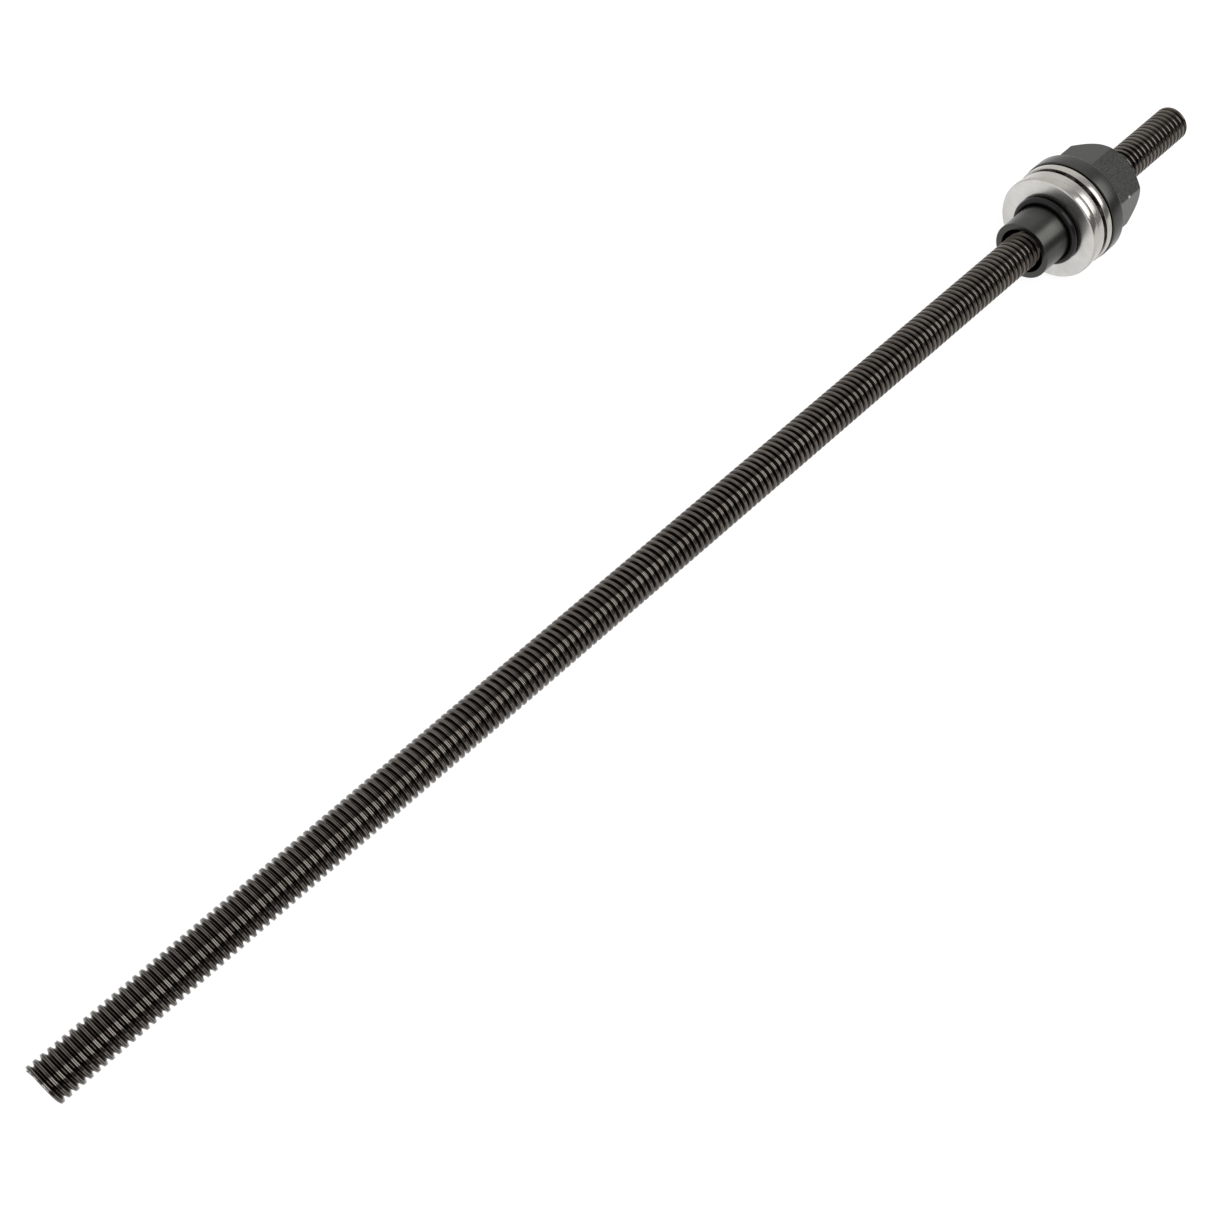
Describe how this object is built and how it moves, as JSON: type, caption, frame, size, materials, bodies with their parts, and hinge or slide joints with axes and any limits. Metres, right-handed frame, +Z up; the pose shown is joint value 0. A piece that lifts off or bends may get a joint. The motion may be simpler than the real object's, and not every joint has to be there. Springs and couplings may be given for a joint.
{
  "type": "threaded pressing spindle with thrust bearing nut",
  "caption": "Long screw rod with a flanged hexagon drive nut whose front sleeve carries a thrust ball bearing, for pressing or pulling.",
  "frame": {"origin": "on the rod's axis at the middle of its length", "axes": "+X along the rod towards the end behind the hexagon, +Z up through a corner of the hexagon"},
  "size_m": [0.45, 0.0356, 0.0356],
  "materials": {
    "black_oxide": "oiled black oxide",
    "charcoal_steel": "satin black oxide over a machined surface",
    "black_rubber": "semi-gloss",
    "ground_steel": "fine ground",
    "pressed_steel": "bright pressed",
    "polished_steel": "polished"
  },
  "bodies": {
    "spindle": {"threaded_spindle": "black_oxide"},
    "bearing_housing": {"housing_washer": "ground_steel"},
    "nut": {"drive_nut": "charcoal_steel", "shaft_washer": "ground_steel", "retaining_o_ring": "black_rubber"},
    "ball_set": {"ball_cage": "pressed_steel", "ball_01": "polished_steel", "ball_02": "polished_steel", "ball_03": "polished_steel", "ball_04": "polished_steel", "ball_05": "polished_steel", "ball_06": "polished_steel", "ball_07": "polished_steel", "ball_08": "polished_steel", "ball_09": "polished_steel", "ball_10": "polished_steel", "ball_11": "polished_steel", "ball_12": "polished_steel", "ball_13": "polished_steel"}
  },
  "joints": [
    {"name": "nut_travel", "type": "slide", "parent": "spindle", "child": "bearing_housing", "axis": [1, 0, 0], "range_m": [-0.36, 0.038]},
    {"name": "nut_spin", "type": "hinge", "parent": "bearing_housing", "child": "nut", "pos_m": [0.161, 0, 0], "axis": [1, 0, 0], "range_deg": [-64800, 6840]},
    {"name": "ball_orbit", "type": "hinge", "parent": "bearing_housing", "child": "ball_set", "pos_m": [0.161, 0, 0], "axis": [1, 0, 0], "range_deg": [-32400, 3420]}
  ],
  "couplings": [
    {"joint": "nut_travel", "follows": "nut_spin", "m_per_rad": 0.00031831},
    {"joint": "ball_orbit", "follows": "nut_spin", "ratio": 0.5}
  ]
}
